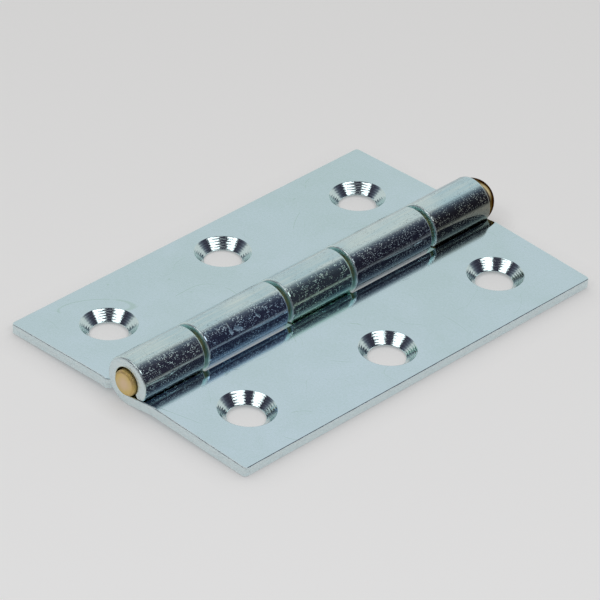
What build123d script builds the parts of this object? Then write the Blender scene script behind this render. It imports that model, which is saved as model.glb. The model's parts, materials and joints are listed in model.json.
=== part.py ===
"""Loose pin hinge, lying open as it rests on a table, in millimetres.

Two punched steel leaves have their edges rolled into five knuckles round a loose brass pin.
The pin lies along Y with its head towards +Y. The base leaf lies towards +X and carries
knuckles 1, 3 and 5, counted from the pin's tip. The swing leaf lies towards -X and carries
knuckles 2 and 4. Each leaf leaves the barrel on a short rise and then bends to its flat plate, so
the plate's underside is a little higher than the barrel's. The hinge rests on the barrel and on the
free edges of both leaves, which slope down to them. The origin is on that table plane, under the
barrel's axis, midway between the pin's tip and the top of its head.
"""

import os
from math import asin, atan2, cos, degrees, hypot, radians, sin, sqrt, tan

from build123d import *

# Leaves
leaf_length = 76.2
leaf_reach = 25.4
sheet = 1.7
corner_radius = 0.6
plate_edge_rounding = 0.15
plate_rise = 0.89
root_rise_angle = 9.4
root_bend_radius = 2.0

# Pin and the barrel rolled round it; the pin lies near the bottom of its bores
pin_radius = 2.15
pin_clearance = 0.2
pin_drop = 0.15
pin_tip_reach = 0.5
pin_tip_rounding = 0.45
head_radius = 3.65
head_rim = 0.5
head_dome = 2.8
head_seat_gap = 0.05

# Rolled edge of each leaf: its end lies just above its own leaf
curl_end_gap = 0.15
curl_end_bevel_angle = 39
curl_end_land = 1.3

# Knuckles
middle_knuckle_length = 14.1
inner_knuckle_length = 17.95
knuckle_gap = 0.8
knuckle_rim_rounding = 0.4
bore_rim_rounding = 0.2
notch_inset = 0.05
notch_corner_cut = 0.6

# Screw holes
hole_radius = 3.0
countersink_radius = 4.6
countersink_angle = 90
end_hole_from_pin = 15.0
middle_hole_from_pin = 17.9
end_hole_spacing = 54.8

# Worked out from the sizes above, in X and Z from the barrel's axis
bore_radius = pin_radius + pin_clearance
barrel_radius = bore_radius + sheet
notch_edge = barrel_radius - notch_inset
underside = plate_rise - barrel_radius
topside = underside + sheet
droop = degrees(asin(barrel_radius / hypot(leaf_reach, underside)) + atan2(underside, leaf_reach))
countersink_depth = (countersink_radius - hole_radius) / tan(radians(countersink_angle / 2))
half_length = leaf_length / 2
middle_end = middle_knuckle_length / 2
inner_end = middle_end + inner_knuckle_length
half_gap = knuckle_gap / 2
base_knuckles = [
    (-half_length, -inner_end - half_gap),
    (-middle_end + half_gap, middle_end - half_gap),
    (inner_end + half_gap, half_length),
]
swing_knuckles = [
    (-inner_end + half_gap, -middle_end - half_gap),
    (middle_end + half_gap, inner_end - half_gap),
]
tip_end = -half_length - pin_tip_reach
head_seat = half_length + head_seat_gap
head_crown = head_seat + head_rim + head_dome
barrel_axis = Axis((0, 0, 0), (0, 1, 0))


def along_barrel(profile, start, end):
    """Extrude a profile, drawn in X and Z from the barrel's axis, from y = start to y = end."""
    return extrude(Plane.XZ.offset(-start) * profile, -(end - start))


def root_line(radius, height):
    """Where the sheet's rise leaves the rolled circle, at the notch's edge, and where it bends to the plate."""
    rise = radians(root_rise_angle)
    leaves_at = (radius * sin(rise), -radius * cos(rise))
    at_notch = (notch_edge, leaves_at[1] + (notch_edge - leaves_at[0]) * tan(rise))
    bends_at = (leaves_at[0] + (height - leaves_at[1]) / tan(rise), height)
    return leaves_at, at_notch, bends_at


def knuckle_profile():
    """One knuckle's section: the sheet runs under the pin and curls up, over and down again."""
    barrel = Circle(barrel_radius) - Circle(bore_radius)
    outer_start, outer_notch, _ = root_line(barrel_radius, underside)
    inner_start, inner_notch, _ = root_line(bore_radius, topside)
    strip = Polygon(
        (0, -barrel_radius), outer_start, outer_notch, inner_notch, inner_start, (0, -bore_radius), align=None
    )
    end_height = -bore_radius + curl_end_gap
    end_outside = sqrt(barrel_radius**2 - end_height**2)
    bevel = radians(curl_end_bevel_angle)
    mouth = Polygon(
        (0, -bore_radius),
        (2 * barrel_radius, -bore_radius),
        (2 * barrel_radius, end_height),
        (end_outside - curl_end_land, end_height),
        (bore_radius * cos(bevel), -bore_radius * sin(bevel)),
        (0, 0),
        align=None,
    )
    return barrel + strip - Rot(0, 0, root_rise_angle) * mouth


def knuckle(start, end):
    """One knuckle with the strip that joins it to the plate; its outer rims and its bore's rims are rounded."""
    body = along_barrel(knuckle_profile(), start, end)
    outer_rims = [rim for rim in body.edges().filter_by(GeomType.CIRCLE) if rim.radius > bore_radius + sheet / 2]
    body = fillet(outer_rims, knuckle_rim_rounding)
    bore_rims = [rim for rim in body.edges().filter_by(GeomType.CIRCLE) if rim.radius < bore_radius + 0.01]
    return fillet(bore_rims, bore_rim_rounding)


def screw_hole(x, y):
    """Countersink from the leaf's top face, and the plain hole below it."""
    plain = Cylinder(hole_radius, 4 * sheet)
    cone = Cone(countersink_radius - countersink_depth, countersink_radius, countersink_depth)
    return Pos(x, y, underside) * plain + Pos(x, y, topside - countersink_depth / 2) * cone


def plate(cut_corners):
    """The flat plate of a leaf and the rise that joins it to the barrel."""
    _, low_notch, low_bend = root_line(barrel_radius, underside)
    _, high_notch, high_bend = root_line(bore_radius, topside)
    section = Polygon(
        low_notch, low_bend, (leaf_reach, underside), (leaf_reach, topside), high_bend, high_notch, align=None
    )
    body = along_barrel(section, -half_length, half_length)
    bends = [edge for edge in body.edges().filter_by(Axis.Y) if abs(edge.center().X - high_bend[0]) < 0.3]
    body = fillet(bends, root_bend_radius)
    outer_corners = body.edges().filter_by(Axis.Z).group_by(Axis.X)[-1]
    body = fillet(outer_corners, corner_radius)
    if cut_corners:
        inner_corners = body.edges().filter_by(Axis.Z).group_by(Axis.X)[0]
        body = chamfer(inner_corners, notch_corner_cut)
    top_face = body.faces().filter_by(Axis.Z).sort_by(Axis.Z)[-1]
    top_outline = top_face.edges().sort_by(Axis.X)[1:]
    return fillet(top_outline, plate_edge_rounding)


def leaf(knuckles):
    """A leaf towards +X: its plate, its knuckles and its three screw holes, sloping down to its free edge."""
    body = plate(cut_corners=knuckles[0][0] > -half_length)
    for start, end in knuckles:
        body += knuckle(start, end)
    for y in (-end_hole_spacing / 2, end_hole_spacing / 2):
        body -= screw_hole(end_hole_from_pin, y)
    body -= screw_hole(middle_hole_from_pin, 0)
    return body.rotate(barrel_axis, droop)


def pin():
    """The pin and its domed head, turned about its own axis, with a rounded tip."""
    rim = head_seat + head_rim
    tip_flat = pin_radius - pin_tip_rounding
    tip_side = tip_end + pin_tip_rounding
    tip_arc = ThreePointArc(
        (tip_flat, tip_end),
        (tip_flat + pin_tip_rounding * sin(radians(45)), tip_side - pin_tip_rounding * cos(radians(45))),
        (pin_radius, tip_side),
    )
    side = Polyline((pin_radius, tip_side), (pin_radius, head_seat), (head_radius, head_seat), (head_radius, rim))
    sphere = (head_radius**2 + head_dome**2) / (2 * head_dome)
    halfway = asin(head_radius / sphere) / 2
    dome = ThreePointArc(
        (head_radius, rim), (sphere * sin(halfway), head_crown - sphere + sphere * cos(halfway)), (0, head_crown)
    )
    closing = Polyline((0, head_crown), (0, tip_end), (tip_flat, tip_end))
    section = make_face(tip_arc + side + dome + closing)
    return Pos(0, 0, -pin_drop) * revolve(section, Axis.Y)


base_leaf = leaf(base_knuckles)
swing_leaf = mirror(leaf(swing_knuckles), about=Plane.YZ)
to_origin = Pos(0, -(tip_end + head_crown) / 2, barrel_radius)

os.makedirs("parts", exist_ok=True)
for name, solid in {"base_leaf": base_leaf, "swing_leaf": swing_leaf, "loose_pin": pin()}.items():
    export_step(to_origin * solid, f"parts/{name}.step")
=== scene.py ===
import json
from math import asin, atan2, cos, hypot, pi, radians, sin, tan

import bmesh
import bpy
from mathutils import Matrix, Vector

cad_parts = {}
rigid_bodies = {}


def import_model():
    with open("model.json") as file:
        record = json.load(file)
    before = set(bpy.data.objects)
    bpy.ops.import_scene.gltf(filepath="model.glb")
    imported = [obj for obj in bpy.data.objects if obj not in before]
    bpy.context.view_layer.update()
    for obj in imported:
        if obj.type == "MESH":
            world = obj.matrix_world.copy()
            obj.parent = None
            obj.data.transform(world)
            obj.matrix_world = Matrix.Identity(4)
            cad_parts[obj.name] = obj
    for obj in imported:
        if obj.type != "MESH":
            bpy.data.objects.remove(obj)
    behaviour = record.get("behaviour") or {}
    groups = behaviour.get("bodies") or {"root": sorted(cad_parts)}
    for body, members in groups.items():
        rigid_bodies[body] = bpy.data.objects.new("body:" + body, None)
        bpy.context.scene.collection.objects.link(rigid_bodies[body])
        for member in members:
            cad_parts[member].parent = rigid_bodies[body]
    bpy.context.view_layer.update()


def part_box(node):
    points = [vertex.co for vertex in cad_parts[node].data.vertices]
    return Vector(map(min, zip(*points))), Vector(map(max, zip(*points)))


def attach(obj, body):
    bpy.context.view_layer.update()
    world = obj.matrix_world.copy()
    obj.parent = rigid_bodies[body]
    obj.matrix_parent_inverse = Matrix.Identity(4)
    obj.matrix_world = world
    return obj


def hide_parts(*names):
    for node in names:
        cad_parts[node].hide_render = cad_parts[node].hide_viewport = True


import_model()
mm = 0.001

# Camera
# A long lens looks down on the hinge from its tip's end, from the side of the base leaf.
camera_place = Vector((409.8, -447.24, 407.4)) * mm
camera_heading = radians(-42.65)
camera_dip = radians(33.82)
camera_roll = radians(3.29)
lens = 283.16
sensor_width = 36.0
nearest_seen = 0.01
farthest_seen = 50.0

camera_data = bpy.data.cameras.new("camera")
camera_data.lens = lens
camera_data.sensor_width = sensor_width
camera_data.clip_start = nearest_seen
camera_data.clip_end = farthest_seen
camera = bpy.data.objects.new("camera", camera_data)
turn = (
    Matrix.Rotation(-camera_heading, 4, "Z")
    @ Matrix.Rotation(pi / 2 - camera_dip, 4, "X")
    @ Matrix.Rotation(camera_roll, 4, "Z")
)
camera.matrix_world = Matrix.Translation(camera_place) @ turn
bpy.context.scene.collection.objects.link(camera)
bpy.context.scene.camera = camera
bpy.context.scene.view_settings.view_transform = "Standard"

# Studio
# A pale sweep stands behind the hinge and to its left, and a dark room lies on the camera's side. The metal
# mirrors both, so they blend as softly as they do in the barrel. A room stop gives how squarely a direction
# faces the room, from -1 to 1, and the grey there. Two soft boxes stand in the room, beside the camera.
sweep_grey = (0.69, 0.69, 0.68)
overhead_grey = (0.55, 0.56, 0.56)
overhead_begins = 0.88
overhead_full = 0.97
room_azimuth = radians(-43)
room_way = (cos(room_azimuth), sin(room_azimuth), 0.0)
room_stops = [
    (-0.43, sweep_grey),
    (-0.33, (0.32, 0.33, 0.35)),
    (-0.24, (0.14, 0.15, 0.19)),
    (-0.12, (0.074, 0.074, 0.102)),
    (0.05, (0.038, 0.033, 0.053)),
]
softbox_distance = 1.2
softbox_radiance = 1.9


def feed(tree, socket, term):
    """Give a socket a constant, or link it to another node's socket."""
    if isinstance(term, bpy.types.NodeSocket):
        tree.links.new(term, socket)
    else:
        socket.default_value = term


def add_node(tree, kind, inputs=None, **settings):
    """Add a node with its own settings, and feed its sockets."""
    node = tree.nodes.new(kind)
    for setting, value in settings.items():
        setattr(node, setting, value)
    for socket, term in (inputs or {}).items():
        feed(tree, node.inputs[socket], term)
    return node


def combine(tree, operation, first, second=None, scale=None):
    """One step of arithmetic with places, which gives a place, or a number for a length or a product."""
    step = tree.nodes.new("ShaderNodeVectorMath")
    step.operation = operation
    for socket, term in ((0, first), (1, second), ("Scale", scale)):
        if term is not None:
            feed(tree, step.inputs[socket], term)
    return step.outputs["Value" if operation in ("DOT_PRODUCT", "DISTANCE", "LENGTH") else "Vector"]


def mapped(tree, value, start, end, low=0.0, high=1.0, easing="LINEAR"):
    """Turn a run from start to end into a run from low to high, and hold it beyond them."""
    limits = {"From Min": start, "From Max": end, "To Min": low, "To Max": high}
    step = add_node(tree, "ShaderNodeMapRange", {"Value": value, **limits}, interpolation_type=easing)
    return step.outputs["Result"]


def fade(tree, value, start, end):
    """A soft step from 0 at the start value to 1 at the end value."""
    return mapped(tree, value, start, end, easing="SMOOTHSTEP")


def mix(tree, amount, colour, other, **settings):
    """Blend one colour into another by an amount. A colour is three numbers or a socket."""
    colour, other = [(*shade, 1.0) if isinstance(shade, tuple) else shade for shade in (colour, other)]
    inputs = {"Factor": amount, "A": colour, "B": other}
    return add_node(tree, "ShaderNodeMix", inputs, data_type="RGBA", **settings).outputs["Result"]


def ramp(tree, amount, stops, interpolation):
    """Run through several colours, each with the amount from 0 to 1 at which it stands."""
    colours = add_node(tree, "ShaderNodeValToRGB", {"Fac": amount})
    colours.color_ramp.interpolation = interpolation
    elements = colours.color_ramp.elements
    for number, (position, colour) in enumerate(stops):
        stop = elements[number] if number < 2 else elements.new(1.0)
        stop.position = position
        stop.color = (*colour, 1.0)
    return colours.outputs["Color"]


def softbox(name, azimuth, elevation, width, tall):
    """A square lamp that faces the hinge from the given direction."""
    data = bpy.data.lights.new(name, "AREA")
    data.shape = "RECTANGLE"
    data.size = width
    data.size_y = tall
    data.energy = softbox_radiance * pi * width * tall
    lamp = bpy.data.objects.new(name, data)
    away = Vector((cos(azimuth) * cos(elevation), sin(azimuth) * cos(elevation), sin(elevation)))
    lamp.location = away * softbox_distance
    lamp.rotation_euler = away.to_track_quat("Z", "Y").to_euler()
    bpy.context.scene.collection.objects.link(lamp)


world = bpy.data.worlds.new("studio")
bpy.context.scene.world = world
world.use_nodes = True
sky = world.node_tree
sky.nodes.clear()
direction = add_node(sky, "ShaderNodeTexCoord").outputs["Generated"]
room_share = mapped(sky, combine(sky, "DOT_PRODUCT", direction, room_way), -1.0, 1.0)
studio_grey = ramp(sky, room_share, [((squarely + 1) / 2, grey) for squarely, grey in room_stops], "LINEAR")
height = add_node(sky, "ShaderNodeSeparateXYZ", {"Vector": direction}).outputs["Z"]
studio_grey = mix(sky, fade(sky, height, overhead_begins, overhead_full), studio_grey, overhead_grey)
seen_directly = add_node(sky, "ShaderNodeLightPath").outputs["Is Camera Ray"]
studio_grey = mix(sky, seen_directly, studio_grey, sweep_grey)
sky_light = add_node(sky, "ShaderNodeBackground", {"Color": studio_grey})
add_node(sky, "ShaderNodeOutputWorld", {"Surface": sky_light.outputs["Background"]})

softbox("left_softbox", radians(-96), radians(49), 0.64, 0.40)
softbox("right_softbox", radians(2), radians(50), 0.78, 0.40)

# Floor
# A matt pale table. Part of what is seen of it is its own even grey, a painted glow that is a little lighter
# on the camera's side, so shadows are faint; the camera sees painted shade in the crevices. In the metal
# that painted glow fades out beyond the base leaf.
floor_size = 12.0
floor_gap = 0.02 * mm
floor_colour = (0.8, 0.79, 0.775, 1.0)
floor_near_grey = (1.155, 1.155, 1.155)
floor_far_grey = (0.995, 0.99, 0.98)
floor_runs = (-0.10, 0.09)
floor_evenness = 0.45
painted_shade_reach = 5 * mm
painted_shade_share = 0.55
painted_shade_samples = 8
mirrored_grey = 0.77
mirrored_fades = (0.027, 0.075)


def calc(tree, operation, *terms):
    """One step of arithmetic with numbers."""
    step = tree.nodes.new("ShaderNodeMath")
    step.operation = operation
    for socket, term in zip(step.inputs, terms):
        feed(tree, socket, term)
    return step.outputs["Value"]


bpy.ops.mesh.primitive_plane_add(size=floor_size, location=(0, 0, -floor_gap))
floor = bpy.context.object
floor.name = "floor"
floor_paint = bpy.data.materials.new("floor_paint")
floor_paint.use_nodes = True
paint = floor_paint.node_tree
matt = paint.nodes["Principled BSDF"]
matt.inputs["Base Color"].default_value = floor_colour
matt.inputs["Roughness"].default_value = 0.9
matt.inputs["Specular IOR Level"].default_value = 0.1
ray = add_node(paint, "ShaderNodeLightPath").outputs
spot = add_node(paint, "ShaderNodeTexCoord").outputs["Object"]
# The floor's glow is painted light, a little lighter on the camera's side.
towards_camera = mapped(paint, combine(paint, "DOT_PRODUCT", spot, room_way), *floor_runs)
floor_grey = mix(paint, towards_camera, floor_far_grey, floor_near_grey)
# Painted shade: for the camera, the glow is darkened in crevices by an occlusion term.
painted_crevice_shade = add_node(paint, "ShaderNodeAmbientOcclusion", {"Distance": painted_shade_reach}, samples=painted_shade_samples)
seen_painted_shade = calc(paint, "MULTIPLY", ray["Is Camera Ray"], painted_shade_share)
floor_grey = mix(paint, seen_painted_shade, floor_grey, painted_crevice_shade.outputs["Color"], blend_type="MULTIPLY")
along = add_node(paint, "ShaderNodeSeparateXYZ", {"Vector": spot}).outputs["X"]
mirrored = mapped(paint, along, *mirrored_fades, mirrored_grey, 0.0)
strength = calc(paint, "MAXIMUM", ray["Is Camera Ray"], mirrored)
even = add_node(paint, "ShaderNodeEmission", {"Color": floor_grey, "Strength": strength})
seen = calc(paint, "MAXIMUM", ray["Is Camera Ray"], ray["Is Glossy Ray"])
even_share = calc(paint, "MULTIPLY", seen, floor_evenness)
floor_shaders = {"Fac": even_share, 1: matt.outputs["BSDF"], 2: even.outputs["Emission"]}
floor_mix = add_node(paint, "ShaderNodeMixShader", floor_shaders)
feed(paint, paint.nodes["Material Output"].inputs["Surface"], floor_mix.outputs["Shader"])
floor.data.materials.append(floor_paint)

# Base leaf
# The leaf towards the camera: a steel strip, punched and countersunk, whose three tongues are rolled into
# knuckles round the pin. It is zinc plated after rolling, with a pale blue film that is tinted differently
# on each knuckle; on the barrel's camera side these tints are partly the film and partly painted shade.
# It is made level and centred along the pin, then laid down with its free edge on the table.
leaf_low, leaf_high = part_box("base_leaf")
barrel_radius = -leaf_low.x
pin_height = leaf_high.z / 2
half_length = (leaf_high.y - leaf_low.y) / 2
mid_length = (leaf_high.y + leaf_low.y) / 2
leaf_reach = 25.4 * mm
sheet = 1.7 * mm
plate_rise = 0.89 * mm
plate_top = plate_rise + sheet
root_rise = radians(9.4)
root_bend_radius = 2.0 * mm
bore_radius = barrel_radius - sheet
notch_edge = 4.0 * mm
notch_corner_cut = 0.6 * mm
plate_drop = barrel_radius - plate_rise
droop = asin(barrel_radius / hypot(leaf_reach, plate_drop)) - atan2(plate_drop, leaf_reach)
middle_end = 7.05 * mm
inner_end = 25.0 * mm
half_gap = 0.4 * mm
roll_turn = 2 * pi - radians(45)
curl_end_gap = 0.15 * mm
curl_end_height = sheet + curl_end_gap
curl_land_inside = 2.10 * mm
curl_bevel_angle = radians(39)
hole_radius = 3.0 * mm
countersink_radius = 4.6 * mm
countersink_floor = 0.1 * mm
cutter_depth = 2 * mm
end_hole = (15.0 * mm, 27.4 * mm)
middle_hole = (17.9 * mm, 0.0)
corner_rounding = 0.6 * mm
outline_rounding = 0.15 * mm
knuckle_rounding = 0.4 * mm
bore_rounding = 0.2 * mm
hole_rounding = 0.06 * mm
base_tongues = [
    (-half_length, -inner_end - half_gap),
    (-middle_end + half_gap, middle_end - half_gap),
    (inner_end + half_gap, half_length),
]
knuckle_film_and_shade_tints = [
    (-half_length, (0.72, 0.73, 0.74)),
    (-inner_end, (0.54, 0.62, 0.80)),
    (-middle_end, (0.74, 0.87, 0.74)),
    (middle_end, (0.38, 0.38, 0.43)),
    (inner_end, (0.38, 0.32, 0.27)),
]

# How finely the leaves are made, and how places on them are told apart
roll_steps = 64
curl_end_rings = 8
hole_sides = 96
corner_segments = 6
bend_segments = 4
rounding_segments = 3
cut_threshold = 1e-7
merge_distance = 0.002 * mm
tolerance = 0.01 * mm
skin = 0.001 * mm
countersink_lip = 0.05 * mm
barrel_margin = 0.03 * mm
margin = 0.1 * mm
sharp_bend = radians(30)
smooth_bend = radians(35)
flat_facing = 0.6
edge_facing = 0.2
rim_facing = 0.5
end_facing = 0.92


def noise(tree, place, scale, detail=2.0, distortion=0.0):
    """Smooth noise about 0.5, with a scale in waves per millimetre."""
    inputs = {"Vector": place, "Scale": scale, "Detail": detail, "Distortion": distortion}
    return add_node(tree, "ShaderNodeTexNoise", inputs).outputs["Fac"]


def add_up(tree, start, *parts):
    """A starting amount plus further amounts, each times its weight."""
    for amount, weight in parts:
        start = calc(tree, "MULTIPLY_ADD", amount, weight, start)
    return start


def strongest(tree, first, *others):
    """The largest of several amounts."""
    for other in others:
        first = calc(tree, "MAXIMUM", first, other)
    return first


def tapered(tree, distance, reach):
    """An amount that falls from 1 to 0 over a reach."""
    return calc(tree, "MAXIMUM", calc(tree, "SUBTRACT", 1.0, calc(tree, "DIVIDE", distance, reach)), 0.0)


def scratch(tree, place, start, end, width, wander=0.0, wave=1.0):
    """A line between two places in millimetres, which may wander off its way in waves."""
    waves = add_node(tree, "ShaderNodeTexNoise", {"Vector": place, "Scale": wave, "Detail": 1.0})
    drift = combine(tree, "SUBTRACT", waves.outputs["Color"], (0.5, 0.5, 0.5))
    drift = combine(tree, "SCALE", drift, scale=wander)
    offset = combine(tree, "SUBTRACT", combine(tree, "ADD", place, drift), start)
    run = Vector(end) - Vector(start)
    part = combine(tree, "DOT_PRODUCT", offset, run / run.length_squared)
    part = add_node(tree, "ShaderNodeClamp", {"Value": part}).outputs["Result"]
    return tapered(tree, combine(tree, "DISTANCE", offset, combine(tree, "SCALE", run, scale=part)), width)


def new_effect(name, inputs):
    """A node group that takes a place in millimetres and some values, and gives one amount."""
    group = bpy.data.node_groups.new(name, "ShaderNodeTree")
    group.interface.new_socket("Place", in_out="INPUT", socket_type="NodeSocketVector")
    for label, value in inputs.items():
        socket = group.interface.new_socket(label, in_out="INPUT", socket_type="NodeSocketFloat")
        socket.default_value = value
    group.interface.new_socket("Amount", in_out="OUTPUT", socket_type="NodeSocketFloat")
    given = group.nodes.new("NodeGroupInput").outputs
    result = group.nodes.new("NodeGroupOutput").inputs["Amount"]
    return group, given, result


def effect(tree, group, place, **values):
    """Use an effect in a material."""
    return add_node(tree, "ShaderNodeGroup", {"Place": place, **values}, node_tree=group).outputs["Amount"]


def start_metal(name, colour, roughness):
    """A metal with its tree, its shader's sockets and the place on it in millimetres."""
    material = bpy.data.materials.new(name)
    material.use_nodes = True
    tree = material.node_tree
    metal = tree.nodes["Principled BSDF"].inputs
    metal["Metallic"].default_value = 1.0
    metal["Base Color"].default_value = (*colour, 1.0)
    metal["Roughness"].default_value = roughness
    point = add_node(tree, "ShaderNodeTexCoord").outputs["Object"]
    return material, tree, metal, combine(tree, "SCALE", point, scale=1 / mm)


def emboss(tree, metal, height, depth):
    """Raise the surface by a height that runs from 0 to 1, up to a depth in metres."""
    bump = add_node(tree, "ShaderNodeBump", {"Strength": 1.0, "Distance": depth, "Height": height})
    feed(tree, metal["Normal"], bump.outputs["Normal"])


hairlines, given, result = new_effect("hairlines", {"Spread": 12.0, "Width": 0.004, "Seed": 0.0})
shifted = combine(hairlines, "ADD", given["Place"], given["Seed"])
field = noise(hairlines, shifted, calc(hairlines, "DIVIDE", 1.0, given["Spread"]), 0.6, 0.3)
distance = calc(hairlines, "ABSOLUTE", calc(hairlines, "SUBTRACT", field, 0.5))
line = tapered(hairlines, distance, given["Width"])
patches = fade(hairlines, noise(hairlines, shifted, 0.16, 1.0), 0.54, 0.60)
feed(hairlines, result, calc(hairlines, "MULTIPLY", line, patches))

specks, given, result = new_effect("specks", {"Spacing": 1.0, "Share": 0.2, "Size": 0.3})
crowding = calc(specks, "DIVIDE", 1.0, given["Spacing"])
cells = add_node(specks, "ShaderNodeTexVoronoi", {"Vector": given["Place"], "Scale": crowding}).outputs
chance = add_node(specks, "ShaderNodeSeparateColor", {"Color": cells["Color"]}).outputs
chosen = calc(specks, "LESS_THAN", chance["Red"], given["Share"])
reach = calc(specks, "MULTIPLY", given["Size"], calc(specks, "ADD", 0.4, chance["Green"]))
feed(specks, result, calc(specks, "MULTIPLY", tapered(specks, cells["Distance"], reach), chosen))

rings, given, result = new_effect("machined rings", {"Pitch": 0.35})
quarter = combine(rings, "ABSOLUTE", combine(rings, "ADD", given["Place"], (0, -mid_length / mm, 0)))
quarter = add_node(rings, "ShaderNodeSeparateXYZ", {"Vector": quarter}).outputs
at_end = calc(rings, "GREATER_THAN", quarter["Y"], end_hole[1] / mm / 2)
centre_x = add_up(rings, middle_hole[0] / mm, (at_end, (end_hole[0] - middle_hole[0]) / mm))
centre_y = calc(rings, "MULTIPLY", at_end, end_hole[1] / mm)
across = calc(rings, "SUBTRACT", quarter["X"], centre_x)
along = calc(rings, "SUBTRACT", quarter["Y"], centre_y)
radius = calc(rings, "SQRT", add_up(rings, 0.0, (across, across), (along, along)))
wobble = noise(rings, given["Place"], 0.7, 1.0)
turns = calc(rings, "ADD", calc(rings, "DIVIDE", radius, given["Pitch"]), wobble)
ridge = calc(rings, "SINE", calc(rings, "MULTIPLY", turns, 2 * pi))
feed(rings, result, add_up(rings, 0.5, (ridge, 0.5)))

zinc_flat, tree, metal, place = start_metal("zinc_flat", (0.615, 0.80, 0.86), 0.10)
arcs = effect(tree, hairlines, place, Spread=26.0, Width=0.0016, Seed=3.0)
fine_arcs = effect(tree, hairlines, place, Spread=9.0, Width=0.0035, Seed=41.0)
dust = effect(tree, specks, place, Spacing=2.6, Share=0.25, Size=0.09)
long_scratch = scratch(tree, place, (-25.0, 26.5, 1.7), (-20.8, 17.5, 1.8), 0.14, 2.4, 0.25)
short_scratch = scratch(tree, place, (9.6, -1.1, 2.2), (11.9, 0.7, 2.2), 0.12, 1.0, 0.5)
fine_arcs = calc(tree, "MULTIPLY", fine_arcs, 0.5)
dust = calc(tree, "MULTIPLY", dust, 0.8)
marks = strongest(tree, arcs, fine_arcs, dust, long_scratch, short_scratch)
clouds = noise(tree, place, 0.09, 3.0, 0.6)
grain = noise(tree, place, 3.0, 3.0)
# Painted shade: the plate's colour runs darker and greener away from the camera's side.
painted_far_shade = combine(tree, "DOT_PRODUCT", place, (1.0, -1.0, 0.0))
painted_far_shade = mapped(tree, painted_far_shade, -51.0, 53.0, -0.25, 0.05)
tone = add_up(tree, painted_far_shade, (clouds, 0.7), (grain, 0.6), (marks, -0.9))
feed(tree, metal["Base Color"], mix(tree, tone, (0.543, 0.727, 0.723), (0.703, 0.867, 0.983)))
feed(tree, metal["Roughness"], add_up(tree, 0.06, (grain, 0.09)))
emboss(tree, metal, add_up(tree, 0.0, (noise(tree, place, 0.5, 2.0), 0.3), (marks, -1.0)), 0.004 * mm)

zinc_rolled, tree, metal, place = start_metal("zinc_rolled", (0.60, 0.70, 0.71), 0.09)
streaks = noise(tree, combine(tree, "MULTIPLY", place, (1.0, 0.05, 1.0)), 2.2, 3.0)
fine_pits = effect(tree, specks, place, Spacing=0.19, Share=0.50, Size=0.48)
sparse_pits = effect(tree, specks, place, Spacing=1.1, Share=0.30, Size=0.26)
pitted = fade(tree, noise(tree, place, 0.5, 2.0), 0.25, 0.62)
pits = calc(tree, "MULTIPLY", strongest(tree, fine_pits, sparse_pits), pitted)
nick = scratch(tree, place, (3.24, -20.9, 6.5), (3.42, -20.8, 6.2), 0.34, 0.3, 5.0)
long_nick = scratch(tree, place, (3.28, -19.8, 6.4), (3.5, -18.8, 6.1), 0.34, 0.4, 5.0)
nick_tail = scratch(tree, place, (2.3, -20.9, 7.4), (3.3, -20.9, 6.4), 0.14)
far_nick = scratch(tree, place, (3.0, -15.1, 6.75), (3.25, -14.8, 6.45), 0.24, 0.3, 5.0)
nicks = strongest(tree, nick, long_nick, nick_tail, far_nick)
film = fade(tree, noise(tree, place, 0.07, 1.0), 0.40, 0.60)
plated = mix(tree, add_up(tree, -0.4, (streaks, 1.4), (film, 0.4)), (0.47, 0.68, 0.76), (0.73, 0.85, 0.83))
barrel_place = add_node(tree, "ShaderNodeSeparateXYZ", {"Vector": place}).outputs
along_barrel = mapped(
    tree, barrel_place["Y"], (mid_length - half_length) / mm, (mid_length + half_length) / mm
)
# The knuckle tints are partly the film's colour and partly painted shade, laid only on the barrel's camera
# side.
film_and_shade_stops = [((start + half_length) / (2 * half_length), colour) for start, colour in knuckle_film_and_shade_tints]
tint = ramp(tree, along_barrel, film_and_shade_stops, "CONSTANT")
tinted = fade(tree, barrel_place["X"], 1.4, 3.4)
feed(tree, metal["Base Color"], mix(tree, tinted, plated, tint, blend_type="MULTIPLY"))
feed(tree, metal["Roughness"], add_up(tree, 0.05, (streaks, 0.08), (pits, 0.35), (nicks, 0.5)))
emboss(tree, metal, add_up(tree, 0.0, (streaks, 0.14), (pits, -1.0), (nicks, -5.0)), 0.045 * mm)

zinc_sheared, tree, metal, place = start_metal("zinc_sheared", (0.88, 0.98, 1.0), 0.34)
grain = noise(tree, combine(tree, "MULTIPLY", place, (0.35, 0.35, 2.0)), 3.0, 4.0)
feed(tree, metal["Base Color"], mix(tree, grain, (0.76, 0.96, 1.0), (0.95, 1.0, 1.0)))
emboss(tree, metal, grain, 0.08 * mm)

# Knuckle ends facing the gaps: sheared zinc painted darker and teal, as painted shade with a painted
# reflection of the zinc round them.
zinc_knuckle_end_painted_shade, tree, metal, place = start_metal("zinc_knuckle_end_painted_shade", (0.60, 0.85, 0.83), 0.42)
grain = noise(tree, combine(tree, "MULTIPLY", place, (2.0, 0.5, 2.0)), 1.5, 4.0)
feed(tree, metal["Base Color"], mix(tree, grain, (0.50, 0.76, 0.75), (0.78, 0.97, 0.96)))
emboss(tree, metal, grain, 0.04 * mm)

zinc_rim, tree, metal, place = start_metal("zinc_rim", (0.84, 0.98, 0.97), 0.38)
emboss(tree, metal, noise(tree, place, 2.2, 3.0), 0.05 * mm)

zinc_countersunk, tree, metal, place = start_metal("zinc_countersunk", (0.64, 0.80, 0.83), 0.13)
chatter = noise(tree, place, 1.8, 3.0)
cut_marks = effect(tree, rings, place, Pitch=0.30)
cut_depth = calc(tree, "ADD", chatter, 0.15)
feed(tree, metal["Base Color"], mix(tree, chatter, (0.57, 0.74, 0.75), (0.78, 0.90, 0.90)))
emboss(tree, metal, add_up(tree, 0.0, (cut_marks, cut_depth), (chatter, 0.7)), 0.014 * mm)

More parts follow.
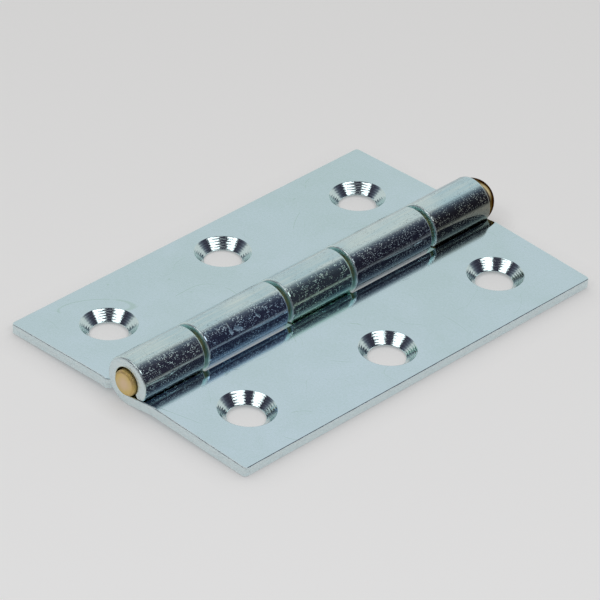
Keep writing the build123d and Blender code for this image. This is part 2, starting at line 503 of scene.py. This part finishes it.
leaf_surfaces = [zinc_flat, zinc_rolled, zinc_sheared, zinc_countersunk, zinc_knuckle_end_painted_shade, zinc_rim]


def choose(piece):
    """Make a piece the only one selected."""
    bpy.ops.object.select_all(action="DESELECT")
    bpy.context.view_layer.objects.active = piece
    piece.select_set(True)


def start_shape(piece):
    """Open a piece for editing, with nothing in it selected."""
    choose(piece)
    bpy.ops.object.mode_set(mode="EDIT")
    bpy.ops.mesh.select_all(action="DESELECT")


def pick_faces(piece, wanted):
    """Select the faces whose centre and normal pass a test."""
    bpy.ops.mesh.select_mode(type="FACE")
    bpy.ops.mesh.select_all(action="DESELECT")
    shape = bmesh.from_edit_mesh(piece.data)
    for face in shape.faces:
        face.select_set(wanted(face.calc_center_median(), face.normal))
    bmesh.update_edit_mesh(piece.data)


def pick_edges(piece, wanted):
    """Select the edges whose two ends and the bend between their faces pass a test."""
    bpy.ops.mesh.select_mode(type="EDGE")
    bpy.ops.mesh.select_all(action="DESELECT")
    shape = bmesh.from_edit_mesh(piece.data)
    for edge in shape.edges:
        edge.select_set(wanted(edge.verts[0].co, edge.verts[1].co, edge.calc_face_angle(0.0)))
    bmesh.update_edit_mesh(piece.data)


def clean(piece):
    """Merge points that coincide and turn all faces outwards."""
    bpy.ops.mesh.select_all(action="SELECT")
    bpy.ops.mesh.remove_doubles(threshold=merge_distance)
    bpy.ops.mesh.normals_make_consistent(inside=False)


def near(a, b):
    """Whether two lengths are the same."""
    return abs(a - b) < tolerance


def both_near(a, b, length):
    """Whether two lengths are both the same as a third."""
    return near(a, length) and near(b, length)


def from_barrel(point):
    """Distance of a point from the barrel's axis."""
    return hypot(point.x, point.z - pin_height)


def on_plate(point):
    """Whether a point of a leaf lies on the flat plate or its rise, and not on the barrel."""
    return abs(point.x) > notch_edge - margin and from_barrel(point) > barrel_radius + barrel_margin


def near_hole(point):
    """Whether a point of a leaf lies in one of its screw holes or on its rim."""
    flat = Vector((abs(point.x), abs(point.y)))
    rim = countersink_radius + margin
    return any((flat - Vector(hole)).length < rim for hole in (end_hole, middle_hole))


def turned(x, z, angle):
    """A point of the leaf's section, turned up about the barrel's axis."""
    height = z - pin_height
    across = x * cos(angle) - height * sin(angle)
    return Vector((across, 0, pin_height + x * sin(angle) + height * cos(angle)))


def cut_end_of_curl(leaf):
    """Trim the rolled end, which is still selected, to a land over the leaf and a bevel inside it."""
    for ring in range(curl_end_rings):
        bpy.ops.mesh.select_more()
    bevel_height = pin_height - bore_radius * sin(curl_bevel_angle)
    land = turned(0, curl_end_height, root_rise)
    bevel_top = turned(bore_radius * cos(curl_bevel_angle), bevel_height, root_rise)
    bevel_foot = turned(curl_land_inside, curl_end_height, root_rise)
    slope = bevel_foot - bevel_top
    trim = {"use_fill": True, "clear_inner": True, "threshold": cut_threshold}
    bpy.ops.mesh.bisect(plane_co=land, plane_no=(-sin(root_rise), 0, cos(root_rise)), **trim)

    def over_land(centre, normal):
        level = turned(centre.x, centre.z, -root_rise)
        return level.x > 0 and curl_end_height - tolerance < level.z < pin_height

    pick_faces(leaf, over_land)
    bpy.ops.mesh.bisect(plane_co=bevel_top, plane_no=(-slope.z, 0, slope.x), **trim)


def drill(leaf, x, y):
    """Cut a countersunk screw hole down through the plate."""
    bpy.ops.object.select_all(action="DESELECT")
    cutter_height = plate_rise + countersink_floor - cutter_depth / 2
    bpy.ops.mesh.primitive_cylinder_add(
        vertices=hole_sides, radius=hole_radius, depth=cutter_depth, location=(x, y, cutter_height)
    )
    cutter = bpy.context.object
    bpy.ops.object.transform_apply(location=True, rotation=False, scale=False)
    start_shape(cutter)
    pick_faces(cutter, lambda centre, normal: normal.z > end_facing)
    bpy.ops.mesh.extrude_region_move(TRANSFORM_OT_translate={"value": (0, 0, sheet)})
    widened = 1 + sheet / hole_radius
    bpy.ops.transform.resize(value=(widened, widened, 1), center_override=(x, y, 0))
    bpy.ops.object.mode_set(mode="OBJECT")
    choose(leaf)
    cut = leaf.modifiers.new("screw hole", "BOOLEAN")
    cut.operation = "DIFFERENCE"
    cut.solver = "EXACT"
    cut.object = cutter
    bpy.ops.object.modifier_apply(modifier=cut.name)
    bpy.data.objects.remove(cutter)


def round_edges(piece, wanted, radius):
    """Mark the chosen edges for a rounding, on top of what they have, up to the knuckle rims' own."""
    pick_edges(piece, wanted)
    bpy.ops.transform.edge_bevelweight(value=radius / knuckle_rounding)


def root_ends(radius, height):
    """Where the sheet's rise leaves a circle round the pin, and where it bends level at a height."""
    start = Vector((radius * sin(root_rise), 0, pin_height - radius * cos(root_rise)))
    return start, Vector((start.x + (height - start.z) / tan(root_rise), 0, height))


def rolled_leaf(name, tongues, side):
    """A leaf towards +X, or -X for side -1: a strip with tongues rolled under, round and over the pin."""
    middle = ((notch_edge + leaf_reach) / 2, 0, plate_rise + sheet / 2)
    bpy.ops.object.select_all(action="DESELECT")
    bpy.ops.mesh.primitive_cube_add(size=1, location=middle)
    leaf = bpy.context.object
    leaf.name = name
    leaf.scale = (leaf_reach - notch_edge, 2 * half_length, sheet)
    bpy.ops.object.transform_apply(location=True, rotation=True, scale=True)
    start_shape(leaf)
    for start, end in tongues:
        for y in (start, end):
            if abs(y) < half_length:
                bpy.ops.mesh.select_all(action="SELECT")
                bpy.ops.mesh.bisect(plane_co=(0, y, 0), plane_no=(0, 1, 0))

    low_start, low_bend = root_ends(barrel_radius, plate_rise)
    high_start, high_bend = root_ends(bore_radius, plate_top)
    bend_plane = (sheet, 0, low_bend.x - high_bend.x)
    bpy.ops.mesh.select_all(action="SELECT")
    bpy.ops.mesh.bisect(plane_co=low_bend, plane_no=bend_plane, threshold=cut_threshold)
    for height, corner in ((plate_rise, low_bend), (plate_top, high_bend)):
        pick_edges(leaf, lambda a, b, bend: both_near(a.x, b.x, notch_edge) and both_near(a.z, b.z, height))
        bpy.ops.transform.translate(value=(0, 0, (notch_edge - corner.x) * tan(root_rise)))

    def tongue_root(centre, normal):
        return normal.x < -end_facing and any(start < centre.y < end for start, end in tongues)

    pick_faces(leaf, tongue_root)
    reach_in = low_start.x - notch_edge
    root = (reach_in, 0, reach_in * tan(root_rise))
    bpy.ops.mesh.extrude_region_move(TRANSFORM_OT_translate={"value": root})
    pick_edges(leaf, lambda a, b, bend: both_near(a.x, b.x, low_start.x) and near(a.z, b.z)
               and a.z > low_start.z + sheet / 2)
    lean = high_start.x - low_start.x
    bpy.ops.transform.translate(value=(lean, 0, lean * tan(root_rise)))
    pick_faces(leaf, lambda centre, normal: centre.x < low_start.x and normal.x < -end_facing)
    bpy.ops.mesh.spin(steps=roll_steps, angle=roll_turn, center=(0, 0, pin_height), axis=(0, -1, 0))
    cut_end_of_curl(leaf)
    clean(leaf)

    corners = [(leaf_reach, corner_rounding, corner_segments), (notch_edge, notch_corner_cut, 1)]
    for x, cut, segments in corners:
        pick_edges(leaf, lambda a, b, bend: both_near(a.x, b.x, x) and near(a.y, b.y)
                   and near(abs(a.y), half_length))
        bpy.ops.mesh.bevel(offset=cut, segments=segments)
    pick_edges(leaf, lambda a, b, bend: near(a.x, b.x) and near(a.z, b.z)
               and high_bend.x - tolerance < a.x < low_bend.x + tolerance)
    bpy.ops.mesh.bevel(offset=root_bend_radius * tan(root_rise / 2), segments=bend_segments)
    bpy.ops.object.mode_set(mode="OBJECT")
    for y in (-end_hole[1], end_hole[1]):
        drill(leaf, end_hole[0], y)
    drill(leaf, middle_hole[0], middle_hole[1])
    if side < 0:
        leaf.scale.x = -1
        bpy.ops.object.transform_apply(location=False, rotation=False, scale=True)
    start_shape(leaf)
    clean(leaf)

    def sharp(bend):
        return abs(bend) > sharp_bend

    def rim_of(a, b, radius):
        return both_near(from_barrel(a), from_barrel(b), radius) and near(a.y, b.y)

    round_edges(leaf, lambda a, b, bend: sharp(bend), hole_rounding)
    round_edges(leaf, lambda a, b, bend: sharp(bend) and abs(a.z - b.z) < sheet / 4 and not near_hole(a)
                and on_plate(a) and on_plate(b), outline_rounding - hole_rounding)
    round_edges(leaf, lambda a, b, bend: sharp(bend) and rim_of(a, b, bore_radius),
                bore_rounding - hole_rounding)
    round_edges(leaf, lambda a, b, bend: sharp(bend) and rim_of(a, b, barrel_radius),
                knuckle_rounding - hole_rounding)
    bpy.ops.object.mode_set(mode="OBJECT")
    rounding = leaf.modifiers.new("rounding", "BEVEL")
    rounding.limit_method = "WEIGHT"
    rounding.width = knuckle_rounding
    rounding.segments = rounding_segments
    rounding.use_clamp_overlap = False
    bpy.ops.object.modifier_apply(modifier=rounding.name)
    return leaf


def finish_shading(piece):
    """Smooth a piece so that its flat faces stay truly flat in a reflection."""
    choose(piece)
    bpy.ops.object.shade_smooth_by_angle(angle=smooth_bend)
    weighted = piece.modifiers.new("flat faces", "WEIGHTED_NORMAL")
    weighted.keep_sharp = True
    bpy.ops.object.modifier_apply(modifier=weighted.name)


def surface_at(centre, normal):
    """The surface that a face of a level leaf has from rolling, shearing or countersinking."""
    if near_hole(centre) and plate_rise + skin < centre.z < plate_top - countersink_lip:
        return zinc_countersunk
    if on_plate(centre):
        end_edge = abs(normal.y) > edge_facing and not near_hole(centre)
        return zinc_sheared if end_edge or abs(normal.z) < flat_facing else zinc_flat
    if abs(normal.y) > end_facing:
        # Knuckle ends in the gaps get the painted shade; the outer ends stay plain sheared zinc.
        return zinc_sheared if abs(centre.y) > half_length - margin else zinc_knuckle_end_painted_shade
    return zinc_rim if abs(normal.y) > rim_facing else zinc_rolled


def dress_leaf(leaf):
    """Give each face of a leaf its surface."""
    for surface in leaf_surfaces:
        leaf.data.materials.append(surface)
    for face in leaf.data.polygons:
        face.material_index = leaf_surfaces.index(surface_at(face.center, face.normal))


def lay_down(leaf, side):
    """Turn a leaf down about the barrel's axis to the table, and move it to its place along the pin."""
    choose(leaf)
    leaf.rotation_euler.y = side * droop
    leaf.location = (-side * pin_height * sin(droop), mid_length, pin_height * (1 - cos(droop)))
    bpy.ops.object.transform_apply(location=True, rotation=True, scale=False)


base_leaf = rolled_leaf("base_leaf_dressed", base_tongues, 1)
finish_shading(base_leaf)
dress_leaf(base_leaf)
lay_down(base_leaf, 1)
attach(base_leaf, "base")
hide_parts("base_leaf")

# Swing leaf
# The leaf away from the camera, rolled from the same strip into the two knuckles that the base leaf leaves
# free.
swing_tongues = [
    (-inner_end + half_gap, -middle_end - half_gap),
    (middle_end + half_gap, inner_end - half_gap),
]

swing_leaf = rolled_leaf("swing_leaf_dressed", swing_tongues, -1)
finish_shading(swing_leaf)
dress_leaf(swing_leaf)
lay_down(swing_leaf, -1)
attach(swing_leaf, "swing")
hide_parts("swing_leaf")

# Loose pin
# A plain turned brass pin that lies near the bottom of its bores. Its tip is cut off with a rounded edge,
# and its head, a low dark dome with a highlight painted on one side, stands just off the last knuckle.
pin_low, pin_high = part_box("loose_pin")
pin_middle = (pin_low.z + pin_high.z) / 2
pin_clearance = 0.2 * mm
pin_radius = bore_radius - pin_clearance
head_radius = pin_high.x
barrel_end = mid_length + half_length
seat_gap = 0.05 * mm
seat = barrel_end + seat_gap
head_rim = 0.5 * mm
tip_rounding = 0.45 * mm
rim_rounding = 0.15 * mm
painted_highlight_at = radians(42)
pin_sides = 96
rounding_steps = 4
dome_steps = 14


def rounded(y, radius, corner):
    """Stations along a rounded edge that grows outwards, as places along the pin with their radii."""
    angles = [pi / 2 * step / rounding_steps for step in range(rounding_steps + 1)]
    return [(y - corner * cos(angle), radius + corner * sin(angle)) for angle in angles]


dome = pin_high.y - seat - head_rim
sphere = (head_radius**2 + dome**2) / (2 * dome)
dome_angle = asin(head_radius / sphere)
stations = rounded(pin_low.y + tip_rounding, pin_radius - tip_rounding, tip_rounding)
stations += [(seat, pin_radius)]
stations += rounded(seat + rim_rounding, head_radius - rim_rounding, rim_rounding)
for step in range(dome_steps):
    angle = dome_angle * (1 - step / dome_steps)
    stations.append((pin_high.y - sphere + sphere * cos(angle), sphere * sin(angle)))

start_y, start_radius = stations[0]
bpy.ops.object.select_all(action="DESELECT")
bpy.ops.mesh.primitive_circle_add(
    vertices=pin_sides, radius=start_radius, fill_type="NGON",
    location=(0, start_y, pin_middle), rotation=(pi / 2, 0, 0),
)
loose_pin = bpy.context.object
loose_pin.name = "loose_pin_dressed"
bpy.ops.object.transform_apply(location=True, rotation=True, scale=True)
start_shape(loose_pin)
bpy.ops.mesh.select_all(action="SELECT")
for (y, radius), (next_y, next_radius) in zip(stations, stations[1:]):
    growth = next_radius / radius
    bpy.ops.mesh.extrude_region_move(TRANSFORM_OT_translate={"value": (0, next_y - y, 0)})
    bpy.ops.transform.resize(value=(growth, 1, growth), center_override=(0, 0, pin_middle))
bpy.ops.mesh.select_all(action="SELECT")
bpy.ops.mesh.normals_make_consistent(inside=False)
bpy.ops.object.mode_set(mode="OBJECT")
finish_shading(loose_pin)

brass, tree, metal, place = start_metal("brass", (0.78, 0.62, 0.28), 0.30)
centred = combine(tree, "ADD", place, (0, 0, -pin_middle / mm))
from_middle = combine(tree, "LENGTH", combine(tree, "MULTIPLY", centred, (1.0, 0.0, 1.0)))
tarnish = calc(tree, "MULTIPLY", noise(tree, place, 0.8, 3.0, 0.4), fade(tree, from_middle, 0.3, 1.7))
feed(tree, metal["Base Color"], mix(tree, tarnish, (0.88, 0.66, 0.42), (0.80, 0.61, 0.13)))
feed(tree, metal["Roughness"], add_up(tree, 0.30, (fade(tree, from_middle, 1.5, 1.8), 0.30)))
swell = calc(tree, "MULTIPLY", from_middle, from_middle)
emboss(tree, metal, add_up(tree, 0.0, (swell, -0.22), (noise(tree, place, 2.0, 3.0), 0.12)), 0.30 * mm)

dark_brass, tree, metal, place = start_metal("dark_brass", (0.24, 0.17, 0.07), 0.20)
metal["Specular Tint"].default_value = (0.20, 0.15, 0.08, 1.0)
tarnish = fade(tree, noise(tree, place, 0.8, 3.0, 0.4), 0.42, 0.70)
centred = combine(tree, "ADD", place, (0, 0, -pin_middle / mm))
# Painted highlight: the head's colour turns bright on one side, over faint tarnish.
painted_highlight_side = combine(tree, "DOT_PRODUCT", centred, (sin(painted_highlight_at), 0.0, cos(painted_highlight_at)))
tarnish_and_painted_highlight = add_up(tree, 0.0, (tarnish, 0.12), (fade(tree, painted_highlight_side, 3.2, 3.6), 0.85))
feed(tree, metal["Base Color"], mix(tree, tarnish_and_painted_highlight, (0.13, 0.09, 0.035), (0.85, 0.72, 0.44)))
emboss(tree, metal, noise(tree, place, 1.2, 2.0), 0.05 * mm)

pin_surfaces = [brass, dark_brass]
for surface in pin_surfaces:
    loose_pin.data.materials.append(surface)
for face in loose_pin.data.polygons:
    face.material_index = pin_surfaces.index(dark_brass if face.center.y > barrel_end else brass)
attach(loose_pin, "pin")
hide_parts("loose_pin")
